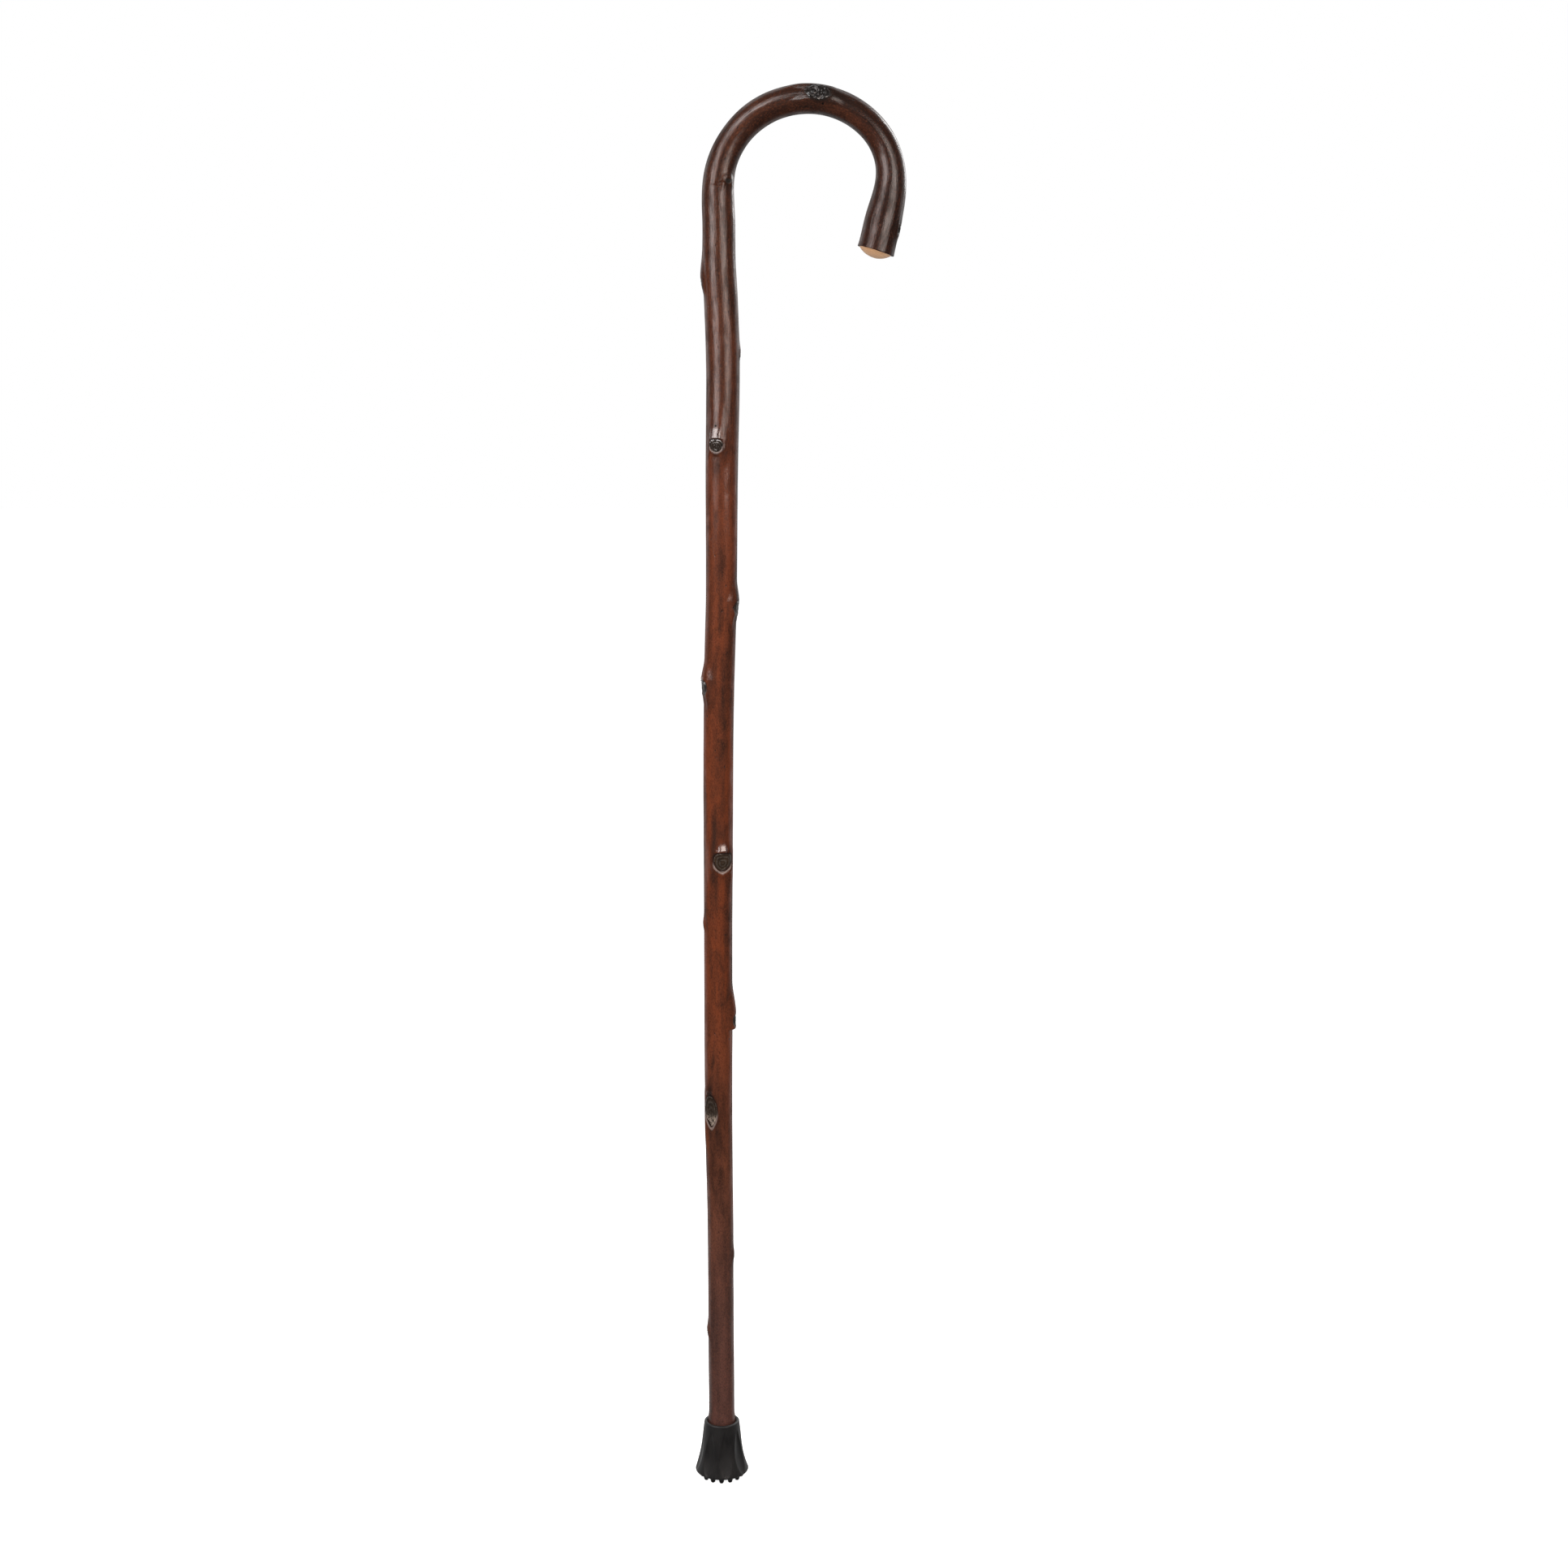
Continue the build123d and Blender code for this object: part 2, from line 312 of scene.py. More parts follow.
def lattice_noise(along, side, cell_along, cells_round, seed):
    """Smooth noise from -1 to 1 that closes up round the stem. Its cells are a length along the stem
    by a share of the way round."""
    rng = np.random.default_rng(RNG_SEED * 1000 + seed)
    u = np.asarray(along) / cell_along + LATTICE_BELOW
    v = (np.asarray(side) / FULL_TURN) % 1.0 * cells_round
    lattice = rng.uniform(-1, 1, (int(LENGTH / cell_along) + LATTICE_SPARE, cells_round))
    i, j = np.floor(u).astype(int), np.floor(v).astype(int)
    total = 0.0
    for di in range(-1, 3):
        for dj in range(-1, 3):
            weight = spline_weight(u - i - di) * spline_weight(v - j - dj)
            total = total + weight * lattice[(i + di) % len(lattice), (j + dj) % cells_round]
    return np.clip(total * LATTICE_GAIN, -1, 1)


def spline_weight(t):
    """The cubic B-spline's bell."""
    t = np.abs(t)
    near = 2 / 3 - t**2 + t**3 / 2
    far = np.clip(2 - t, 0, None) ** 3 / 6
    return np.where(t < 1, near, far)


def smoothstep(low, high, value):
    t = np.clip((value - low) / (high - low), 0, 1)
    return t * t * (3 - 2 * t)


def bell(value, width):
    return np.exp(-((value / width) ** 2))


def knot_offsets(knot, along, side):
    """(up, round) distances from a knot's middle, along the bark."""
    return along - knot.along, wrapped(side - knot.side) * girth(knot.along)


def cut_size(knot):
    """Half length and half width of the cut end that shows."""
    return knot.radius * knot.look.long, knot.radius * knot.look.wide


def cut_reach(knot, up, across):
    """How far out from the cut's middle a point is: 1 on its outline, a squared-off ellipse above and
    a pointed one below."""
    half_length, half_width = cut_size(knot)
    power = np.where(up > 0, knot.look.square, knot.look.point)
    up, across = np.abs(up) / half_length + 1e-6, np.abs(across) / half_width + 1e-6
    return (up**power + across**power) ** (1 / power)


SWELL_OVER = 0.25                 # the swelling stands this far over the cut before it is pruned
PRUNED_EDGE = 0.12                # how softly the pruned plane meets it


def hump(knot, up, across):
    """The bark's swelling over a branch. The pruning cut takes it down to a plane."""
    look = knot.look
    half_length, half_width = cut_size(knot)
    rise = np.clip((up - half_length) / look.slope, 0, 1)
    run_up = (1 - rise) ** 2 * (1 + 2 * rise)
    fall = 1.0 + (1.3 * half_length + 2) * look.tilt
    run_down = smoothstep(-half_length - fall, -half_length - 0.1 * fall, up)
    width = (1.9 * half_width + 0.6) * (1 - 0.55 * rise)
    round_it = np.clip(1 - (across / width) ** 2, 0, 1) ** 1.5
    swelling = (knot.swell + SWELL_OVER) * run_up * run_down * round_it
    share = 1 - look.tilt * (half_length - up) / (2 * half_length)
    plane = np.maximum(knot.swell * share + across**2 / (2 * girth(knot.along)), 0.0)
    blend = np.clip(0.5 + (plane - swelling) / (2 * PRUNED_EDGE), 0, 1)
    return plane * (1 - blend) + swelling * blend - PRUNED_EDGE * blend * (1 - blend)


def brow_share(knot, up, across):
    """The overhanging bark's height at a point, as a share of its most."""
    half_length, half_width = cut_size(knot)
    run = np.clip(1 - (up - half_length) / knot.look.brow_run, 0, 1)
    run *= smoothstep(half_length - 0.5, half_length + 0.3, up)
    drift = 0.08 + 0.05 * np.sin(1.1 * up) + 0.03 * np.sin(2.7 * up)
    wide = knot.look.brow_wide
    return run * smoothstep(wide, 0.75 * wide, np.abs(across / half_width + drift))


RIDGE_REACH, RIDGE_WIDTH = 1.15, 0.17   # the ridge round a cut, where its edge is at 1


def knot_relief(knot, along, side):
    """The bark's height over and round one knot: its swelling, its brow, and the ridge of bark that
    has grown over the cut's edge."""
    up, across = knot_offsets(knot, along, side)
    half_length, _ = cut_size(knot)
    lower = 0.3 + 0.7 * smoothstep(0.3 * half_length, -0.5 * half_length, up)
    height = hump(knot, up, across) + knot.look.brow * brow_share(knot, up, across)
    return height + knot.look.ridge * lower * bell(cut_reach(knot, up, across) - RIDGE_REACH, RIDGE_WIDTH)


SEAT_DEPTH = 1.0                  # how far the bark is sunk under a cut end
SEAT_RIM, SEAT_FLOOR = 0.84, 0.6  # where that starts and is full, as the cut's reach


def seats(along, side):
    """How far the bark is sunk to seat the cut ends."""
    depth = np.zeros(np.shape(along))
    for knot in KNOTS:
        reach = cut_reach(knot, *knot_offsets(knot, along, side))
        depth = np.maximum(depth, SEAT_DEPTH * smoothstep(SEAT_RIM, SEAT_FLOOR, reach))
    return depth


# Pinholes in the bark: along, degrees round from the front, radius.
PINHOLES = ((693, -20, 1.1), (651, 18, 0.6), (932, 20, 0.9))
PINHOLE_DEPTH = 0.5
FAR_REACH = 9.0                   # stands for nowhere near


def pinhole_reach(along, side):
    """The distance to the nearest pinhole's middle, in its radii."""
    nearest = np.full(np.shape(along), FAR_REACH)
    for middle, turn, radius in PINHOLES:
        across = wrapped(side - math.radians(turn)) * girth(middle)
        distance = np.hypot(along - middle, across)
        nearest = np.minimum(nearest, distance / radius)
    return nearest


WRINKLE_ALONG = 839.0             # where the bark has buckled a little at the start of the bend
WRINKLE_SIDE = math.radians(2)
WRINKLE_HALF_TURN = math.radians(62)


def wrinkle(along, side):
    turn = wrapped(side - WRINKLE_SIDE)
    shown = smoothstep(WRINKLE_HALF_TURN, 0.3 * WRINKLE_HALF_TURN, np.abs(turn))
    up = along - WRINKLE_ALONG - 1.4 * np.sin(2.1 * turn) - 0.5 * np.sin(7 * turn)
    return shown * (0.30 * bell(up - 3.0, 3.0) - 0.22 * bell(up, 1.3))


# The bark's waves: height, length along the stem, how many round it, seed.
WAVES = ((0.22, 50, 5, 1), (0.12, 45, 11, 2), (0.045, 18, 24, 3), (0.02, 6, 40, 4), (0.022, 24, 45, 8))


def bark_relief(along, side):
    """The bark's height over its even girth."""
    height = sum(share * lattice_noise(along, side, *wave) for share, *wave in WAVES)
    height += wrinkle(along, side) - PINHOLE_DEPTH * bell(pinhole_reach(along, side), 0.8)
    for knot in KNOTS:
        height += knot_relief(knot, along, side)
    in_ferrule = smoothstep(FOOT_GRIP_LENGTH + 6, FOOT_GRIP_LENGTH, along)
    return height * (1 - in_ferrule)


def knot_marks(along, side):
    """What the bark's material needs to know of the knots: the nearest one's reach, which is 1 at a
    cut's edge, how dark the bark is round them (part stain, part painted shade), how strong the
    painted highlight on the ridge's crest under a cut is, and how thickly varnished the bark is, 0 to 1."""
    marks = {"knot_reach": np.full(np.shape(along), FAR_REACH)}
    for name in ("stain_and_shade", "crest_highlight", "gloss"):
        marks[name] = np.zeros(np.shape(along))
    for knot in KNOTS:
        look = knot.look
        up, across = knot_offsets(knot, along, side)
        half_length, half_width = cut_size(knot)
        reach = cut_reach(knot, up, across)
        # dark round the knot and running up or down from it: part stain, part painted shade
        around = bell(up, 1.9 * half_length + 1) * bell(across, 1.4 * half_width + 1)
        past = up * math.copysign(1, look.smear) - half_length
        smear = bell(np.clip(past, 0, None), abs(look.smear)) * smoothstep(-half_length, 0, past)
        darkening = np.maximum(0.7 * around, smear * bell(across, 0.8 * half_width))
        darkening = darkening * (0.2 + 0.8 * look.stain_and_shade)
        # painted highlight on the crest of the ridge below the cut
        crest_highlight = look.crest_highlight * smoothstep(1.7, 1.3, reach) * smoothstep(0.2, -0.5, up / half_length)
        marks["knot_reach"] = np.minimum(marks["knot_reach"], reach)
        marks["stain_and_shade"] = np.maximum(marks["stain_and_shade"], darkening)
        marks["crest_highlight"] = np.maximum(marks["crest_highlight"], crest_highlight)
        if look.brow > 0:
            wet = smoothstep(0, 0.3, brow_share(knot, up, across))
            marks["gloss"] = np.maximum(marks["gloss"], wet)
    return marks


# ---------------------------------------------------------------- meshes
def sweep_faces(rings, segments, closed):
    """Quads between rings of points, each ring closed on itself."""
    i = np.arange(rings if closed else rings - 1)[:, None]
    j = np.arange(segments)[None, :]
    here, there = i * segments, (i + 1) % rings * segments
    after = (j + 1) % segments
    quads = np.stack([here + j, here + after, there + after, there + j], -1)
    return quads.reshape(-1, 4).tolist()


def end_faces(rings, segments):
    """The faces that close the first and the last ring of a sweep."""
    last = (rings - 1) * segments
    return [[*range(segments)][::-1], [last + k for k in range(segments)]]


def add_object(name, data):
    made = bpy.data.objects.new(name, data)
    bpy.context.scene.collection.objects.link(made)
    return made


def add_piece(name, points, faces, body, node, material):
    """A smooth-shaded mesh object that rides on a body and stands for a CAD node."""
    mesh = bpy.data.meshes.new(name)
    mesh.from_pydata(points.tolist(), [], faces)
    mesh.validate()
    mesh.update()
    mesh.shade_smooth()
    mesh.materials.append(material)
    piece = add_object(name, mesh)
    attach(piece, body)
    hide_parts(node)
    return piece


def add_attribute(piece, name, values):
    """A value, or a vector, for each point of a piece, for its material to read."""
    values = np.asarray(values, np.float32)
    if values.ndim == 1:
        layer = piece.data.attributes.new(name, "FLOAT", "POINT")
        layer.data.foreach_set("value", values)
    else:
        layer = piece.data.attributes.new(name, "FLOAT_VECTOR", "POINT")
        layer.data.foreach_set("vector", values.ravel())


def unbent(along, side, radius):
    """Where a point would be if the stick were straight: the grain follows these coordinates."""
    return np.stack([radius * np.sin(side), -radius * np.cos(side), along], -1)


def ring_stations():
    """Where the bark's rings go: closer together over the knots."""
    fine = [(WRINKLE_ALONG - 6, WRINKLE_ALONG + 6)]
    for knot in KNOTS:
        half_length, _ = cut_size(knot)
        fine.append((knot.along - 1.7 * half_length - 2, knot.along + half_length + 3.5))
    stations = [0.0]
    while stations[-1] < LENGTH:
        here = stations[-1]
        near = any(low < here < high for low, high in fine)
        stations.append(here + (KNOT_STEP if near else PLAIN_STEP))
    stations[-1] = LENGTH
    return np.array(stations)


BARK_EDGE_ROUND = 0.3
INSIDE_STEP = 12.0                # between the rings of the bark's inside
INSIDE_MARGIN = 4.0               # from them to its ends


def inside_ring(at):
    """(along, radius) arrays for a ring of the bark's inside."""
    return np.full(BARK_SEGMENTS, at), np.full(BARK_SEGMENTS, girth(at) - BARK_THICKNESS)


def make_bark(material):
    """The bark: its outside from foot to nose, a rounded edge, the end face, and the inside."""
    sides = turns_round(BARK_SEGMENTS)
    stations = ring_stations()
    along, side = np.meshgrid(stations, sides, indexing="ij")
    waver = 0.3 * lattice_noise(np.full(BARK_SEGMENTS, 500.0), sides, 30, 9, 5)
    along = along + waver * smoothstep(LENGTH - 8, LENGTH, along)
    radius = girth(along) + bark_relief(along, side) - seats(along, side)
    last_along, last_radius = along[-1], radius[-1]
    edge = [
        (last_along + BARK_EDGE_ROUND * 0.7, last_radius - BARK_EDGE_ROUND * 0.3),
        (last_along + BARK_EDGE_ROUND, last_radius - BARK_EDGE_ROUND),
        (last_along + BARK_EDGE_ROUND, last_radius - BARK_THICKNESS),
    ]
    inside = np.arange(LENGTH - INSIDE_MARGIN, INSIDE_MARGIN, -INSIDE_STEP)
    rings = edge + [inside_ring(at) for at in [*inside, 0.0]]
    along = np.concatenate([along, [a for a, _ in rings]])
    radius = np.concatenate([radius, [r for _, r in rings]])
    side = np.broadcast_to(sides, along.shape)
    points = on_stem(along, side, radius).reshape(-1, 3)
    faces = sweep_faces(len(along), BARK_SEGMENTS, closed=True)
    bark = add_piece("bark_skin", points, faces, "stick", "bark", material)
    flat_along, flat_side = along.ravel(), side.ravel()
    add_attribute(bark, "grain", unbent(flat_along, flat_side, radius.ravel()))
    add_attribute(bark, "pinhole_reach", pinhole_reach(flat_along, flat_side))
    for name, values in knot_marks(flat_along, flat_side).items():
        add_attribute(bark, name, values)
    return bark


CORE_GAP = 0.02                   # between the wood and the bark's inside
FOOT_RINGS = (0.02, 0.3, 0.6, 0.85)   # across the sawn foot, as shares of its radius
DOME_RINGS = 24


def make_core(material):
    """The wood under the bark, from the sawn foot to the sanded dome of the nose."""
    sides = turns_round(CORE_SEGMENTS)
    stations = list(np.arange(0.0, LENGTH, CORE_STEP)) + [LENGTH]
    rings = [(0.0, share * (girth(0.0) - BARK_THICKNESS)) for share in FOOT_RINGS]
    rings += [(s, float(girth(s)) - BARK_THICKNESS - CORE_GAP) for s in stations]
    rim = rings[-1][1]
    ball = (rim**2 + NOSE_DOME_HEIGHT**2) / (2 * NOSE_DOME_HEIGHT)
    for k in range(1, DOME_RINGS):
        r = rim * math.cos(k / DOME_RINGS * math.pi / 2)
        rings.append((LENGTH + NOSE_DOME_HEIGHT - ball + math.sqrt(ball**2 - r**2), r))
    along = np.repeat([[a] for a, _ in rings], CORE_SEGMENTS, 1)
    radius = np.repeat([[r] for _, r in rings], CORE_SEGMENTS, 1)
    side = np.broadcast_to(sides, along.shape)
    over_nose = smoothstep(LENGTH, LENGTH + 1.5, along)
    along = along + 0.10 * over_nose * lattice_noise(radius * 6, side, 22, 7, 6)
    points = on_stem(along, side, radius).reshape(-1, 3)
    faces = sweep_faces(len(along), CORE_SEGMENTS, closed=False) + end_faces(len(along), CORE_SEGMENTS)
    core = add_piece("stem_wood", points, faces, "stick", "wood_core", material)
    add_attribute(core, "grain", unbent(along.ravel(), side.ravel(), radius.ravel()))
    return core


CUT_RINGS = 26
CUT_SEGMENTS = 72
CUT_TUCK = 0.6                    # a cut end's rim is this far under the bark
CUT_PROUD = 0.06                  # its face is this far over the pruned plane
CUT_UNDER = (1.6, 2.0)            # its underside at the rim and at the middle, below the girth
CUT_TAPER = 0.3                   # the underside's inner ring, as a share of its outline
PITH_DROP = 0.3                   # the pith's place below the cut's middle, as a share of its half length


def cut_surface(look, reach, turn, seed):
    """A cut end's own height: its rim tucks under the bark, growth rings and cracks run over it, and a
    burr is lumpy, pitted or curled."""
    up, across = reach * np.cos(turn), reach * np.sin(turn)
    rough = lattice_noise(up * 30 + 100, across * 1.3 + 2, 9, 9, seed)
    fine = lattice_noise(up * 30 + 100, across * 1.3 + 2, 4.5, 19, seed + 1)
    holes = lattice_noise(up * 30 + 60, across * 1.1 + 1, 7, 11, seed + 2)
    smooth = 1 - look.burr
    from_pith = np.hypot(up + PITH_DROP, across)
    rings = np.cos(FULL_TURN * (3.1 * from_pith + 0.3 * rough)) * smoothstep(0.05, 0.3, from_pith)
    crack = bell(np.sin(1.5 * (turn - 0.7 * seed)) * reach, 0.05) * smoothstep(0.75, 0.3, reach)
    pith = bell(from_pith, 0.14)
    rings *= 0.06 + 0.14 * smoothstep(0.2, -0.4, up)
    height = smooth * (rings - 0.1 * pith) - 0.12 * crack * (1 - 0.5 * look.burr)
    height += look.burr * (0.42 * rough + 0.22 * fine - 0.6 * smoothstep(0.35, 0.75, holes))
    curls = np.cos(6.0 * rough + 4.0 * up)
    height += look.swirl * curls * smoothstep(1.0, 0.75, reach)
    at_top = smoothstep(0.1, 0.7, np.cos(turn)) * (0.55 + 0.45 * fine)
    height += look.lip * at_top * bell(reach - 0.84, 0.07)
    height -= look.sink * smoothstep(0.3, -0.6, up)
    return CUT_PROUD + height - CUT_TUCK * smoothstep(0.88, 1.0, reach)


def make_cut(knot, seed):
    """(points, faces, marks) of one cut end: a lens-shaped solid let into the bark. The marks are what
    its material reads at each point."""
    look = knot.look
    turns = turns_round(CUT_SEGMENTS)
    shares = (np.arange(CUT_RINGS) + 0.6) / (CUT_RINGS - 0.4)
    half_length, half_width = cut_size(knot)
    reach, turn = np.meshgrid(shares, turns, indexing="ij")
    ragged = 1 + 0.05 * lattice_noise(np.full(CUT_SEGMENTS, 40.0 + 7 * seed), turns, 5, 7, 30 + seed)
    outline = ragged / cut_reach(knot, half_length * np.cos(turn), half_width * np.sin(turn))
    along = knot.along + half_length * reach * outline * np.cos(turn)
    side = knot.side + half_width * reach * outline * np.sin(turn) / girth(knot.along)
    height = bark_relief(along, side) + cut_surface(look, reach, turn, 50 + 3 * seed)
    radius = girth(along) + height
    under = [girth(along[-1]) - depth for depth in CUT_UNDER]
    at_top = smoothstep(0.2, 0.8, np.cos(turn))
    crumbs = look.crumbs * smoothstep(0.0, -0.5, reach * np.cos(turn)) * (0.3 + 0.7 * reach)
    # painted highlight: where white glints are painted along the roll at the cut's top edge
    painted_glints = look.painted_glints * at_top * bell(reach - 0.78, 0.10)
    inner_along = knot.along + CUT_TAPER * (along[-1:] - knot.along)
    inner_side = knot.side + CUT_TAPER * (side[-1:] - knot.side)
    along = np.concatenate([along, along[-1:], inner_along])
    side = np.concatenate([side, side[-1:], inner_side])
    radius = np.concatenate([radius, under])
    hidden = np.zeros((2, CUT_SEGMENTS))
    marks = {
        "grain": unbent(along.ravel(), side.ravel(), radius.ravel()),
        "cut_reach": np.concatenate([reach, hidden + 1.2]).ravel(),
        "crumbs": np.concatenate([crumbs, hidden]).ravel(),
        "painted_glints": np.concatenate([painted_glints, hidden]).ravel(),
        "brown": np.full(along.size, look.brown),
        "gloss": np.full(along.size, look.gloss),
    }
    faces = sweep_faces(len(along), CUT_SEGMENTS, closed=False) + end_faces(len(along), CUT_SEGMENTS)
    return on_stem(along, side, radius).reshape(-1, 3), faces, marks


def make_cuts(material):
    """The cut ends of the pruned branches, all in one piece."""
    cuts = [make_cut(knot, seed) for seed, knot in enumerate(KNOTS)]
    points = np.concatenate([cut[0] for cut in cuts])
    count = len(cuts[0][0])
    faces = [[k + i * count for k in face] for i, cut in enumerate(cuts) for face in cut[1]]
    piece = add_piece(
        "pruned_branch_ends", points, faces, "stick", "branch_stubs", material,
    )
    for name in cuts[0][2]:
        add_attribute(piece, name, np.concatenate([cut[2][name] for cut in cuts]))
    return piece


# ---------------------------------------------------------------- the ferrule
FERRULE_SEGMENTS = 288
TREAD_RINGS = 60
BELL = ((16.6, 9.5), (15.0, 15.3), (13.2, 27.0), (12.4, 33.0))    # (radius, height) up its side
LIP_RADIUS = 11.8
EDGE_ROUND = 1.2
FLUTE_COUNT = 8
FLUTE_TURN = math.radians(11)     # from the front to the first flute
FLUTE_BOTTOM, FLUTE_TOP = 4.5, 35.0
FLUTE_HALF_TURN = math.radians(17.5)
FLUTE_DEPTH = 1.15
CLEAT_HEIGHT = 3.8
CLEAT_RINGS = ((0.0, 1, 2.8, 3.9), (7.6, 8, 1.1, 2.4), (13.2, 14, 1.0, 2.6))
SOCKET_RADIUS = 9.2
SOCKET_FLOOR = 9.0
GROOVE_RADIUS, GROOVE_TOP = 10.25, 10.6
MOUTH_DEPTH = 1.6                 # from the lip's top to where the socket is straight
MIDDLE_HOLE = 0.3                 # the tread and the floor start this far out, and a face closes them


def arc_points(middle, radius, start, end, count):
    """(radius, height) points along an arc, angles in degrees, without its first point."""
    angles = np.radians(np.linspace(start, end, count + 1)[1:])
    return [(middle[0] + radius * math.cos(a), middle[1] + radius * math.sin(a)) for a in angles]


def line_points(start, end, count):
    """(radius, height) points along a line, without its first point."""
    return [tuple(np.add(start, np.subtract(end, start) * k / count)) for k in range(1, count + 1)]


def path(start, *lines):
    """(radius, height) points along lines, each given as its end and how many points it has."""
    points = [start]
    for end, count in lines:
        points += line_points(points[-1], end, count)
    return points[1:]          # without the start, as in line_points


def bell_side(base, lip, count):
    """A smooth curve up the ferrule's side, near the bell's stations and held at both ends."""
    stations = np.array([base, *BELL, lip])
    t = np.concatenate([[0], np.cumsum(np.hypot(*np.diff(stations, axis=0).T))])
    hold = [30, *[1] * len(BELL), 30]
    radius_fit, height_fit = (np.polyfit(t, stations[:, k], 4, w=hold) for k in (0, 1))
    at = np.linspace(0, t[-1], count + 1)[1:]
    return [(np.polyval(radius_fit, a), np.polyval(height_fit, a)) for a in at]


def ferrule_profile(base_radius, height):
    """The ferrule's outline from the middle of the tread, out, up the side, over the lip and down the
    socket to the middle of its floor. Also says which points are tread and which are side."""
    tread = line_points((MIDDLE_HOLE, CLEAT_HEIGHT), (base_radius - EDGE_ROUND, CLEAT_HEIGHT), TREAD_RINGS)
    corner = (base_radius - EDGE_ROUND, CLEAT_HEIGHT + EDGE_ROUND)
    rim = arc_points(corner, EDGE_ROUND, -90, 0, 6)
    lip_corner = (LIP_RADIUS - EDGE_ROUND, height - EDGE_ROUND)
    side = bell_side(rim[-1], (LIP_RADIUS, lip_corner[1]), 70)
    lip = arc_points(lip_corner, EDGE_ROUND, 0, 125, 10)
    socket = path(
        lip[-1],
        ((SOCKET_RADIUS, height - MOUTH_DEPTH), 4),
        ((SOCKET_RADIUS, GROOVE_TOP), 16),
        ((GROOVE_RADIUS, GROOVE_TOP), 2),
        ((GROOVE_RADIUS, SOCKET_FLOOR), 3),
        ((MIDDLE_HOLE, SOCKET_FLOOR), 10),
    )
    profile = np.array(tread + rim + side + lip + socket)
    kinds = [1] * len(tread) + [0] * len(rim) + [2] * len(side)
    kinds += [0] * (len(profile) - len(kinds))
    return profile, np.array(kinds)


def flute_depth(height, turn):
    """How deep the flutes cut: each is a leaf, pointed at both ends, with crisp edges."""
    step = FULL_TURN / FLUTE_COUNT
    off = (turn - FLUTE_TURN + step / 2) % step - step / 2
    t = np.clip((height - FLUTE_BOTTOM) / (FLUTE_TOP - FLUTE_BOTTOM), 0, 1)
    leaf = FLUTE_HALF_TURN * np.sin(math.pi * t**0.8) ** 0.75 + 1e-6
    hollow = np.clip(1 - (off / leaf) ** 2, 0, 1)
    return FLUTE_DEPTH * hollow * np.sin(math.pi * t**0.9) ** 0.6


def cleat_drop(radius, turn):
    """How far the tread's cleats stand down from it."""
    x, y = radius * np.sin(turn), -radius * np.cos(turn)
    drop = np.zeros_like(x)
    for ring_radius, count, tip, root in CLEAT_RINGS:
        for k in range(count):
            angle = FULL_TURN * k / count
            apart = np.hypot(x - ring_radius * math.sin(angle), y + ring_radius * math.cos(angle))
            drop = np.maximum(drop, 1 - smoothstep(tip, root, apart))
    return CLEAT_HEIGHT * drop


def lathe(name, profile, segments, body, node, material, shape, capped=False):
    """A solid of revolution about Z from (radius, height) points, which shape then moves. The outline
    closes on itself, or is capped at both ends."""
    turns = turns_round(segments)
    radius = np.repeat(profile[:, :1], segments, 1)
    height = np.repeat(profile[:, 1:], segments, 1)
    turn = np.broadcast_to(turns, radius.shape)
    radius, height = shape(radius, height, turn)
    points = np.stack([radius * np.sin(turn), -radius * np.cos(turn), height], -1).reshape(-1, 3) * MM
    faces = sweep_faces(len(profile), segments, closed=not capped)
    if capped:
        faces += end_faces(len(profile), segments)
    return add_piece(name, points, faces, body, node, material)


def make_ferrule(material):
    low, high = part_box("rubber_ferrule")
    base_radius = (high.x - low.x) / 2 / MM
    profile, kinds = ferrule_profile(base_radius, high.z / MM)
    slope = np.gradient(profile, axis=0)
    out = np.stack([slope[:, 1], -slope[:, 0]], 1) / np.hypot(*slope.T)[:, None]

    def shape(radius, height, turn):
        side = (kinds == 2)[:, None]
        depth = np.where(side, flute_depth(height, turn), 0)
        drop = np.where((kinds == 1)[:, None], cleat_drop(radius, turn), 0)
        return radius - depth * out[:, :1], height - depth * out[:, 1:] - drop

    return lathe(
        "fluted_rubber_ferrule", profile, FERRULE_SEGMENTS, "ferrule", "rubber_ferrule",
        material, shape, capped=True,
    )


WASHER_HOLE = 2.5
WASHER_ROLL = 0.45                # its rolled edge's radius
WASHER_EDGE = 0.2                 # how far its other edges are broken
WASHER_DISH = 0.12


def make_washer(material):
    """A stamped washer: one rolled edge, one burred edge and a slight dish."""
    low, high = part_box("ferrule_washer")
    outer = (high.x - low.x) / 2 / MM
    bottom, top = low.z / MM, high.z / MM
    hole, roll, edge = WASHER_HOLE, WASHER_ROLL, WASHER_EDGE
    profile = path(
        (hole, bottom + edge), ((hole, top - edge), 3), ((hole + edge, top), 2), ((outer - roll, top), 14),
    )
    profile += arc_points((outer - roll, top - roll), roll, 90, 0, 6)
    profile += path(
        profile[-1], ((outer, bottom + 0.15), 2), ((outer - 0.15, bottom), 2), ((hole + edge, bottom), 14),
    )
    profile += line_points(profile[-1], (hole, bottom + edge), 2)[:1]

    def shape(radius, height, turn):
        middle = (radius - hole) / (outer - hole)
        return radius, height - WASHER_DISH * np.sin(math.pi * middle) * (height > bottom + 0.7)

    return lathe(
        "socket_washer", np.array(profile), 96, "washer", "ferrule_washer",
        material, shape,
    )


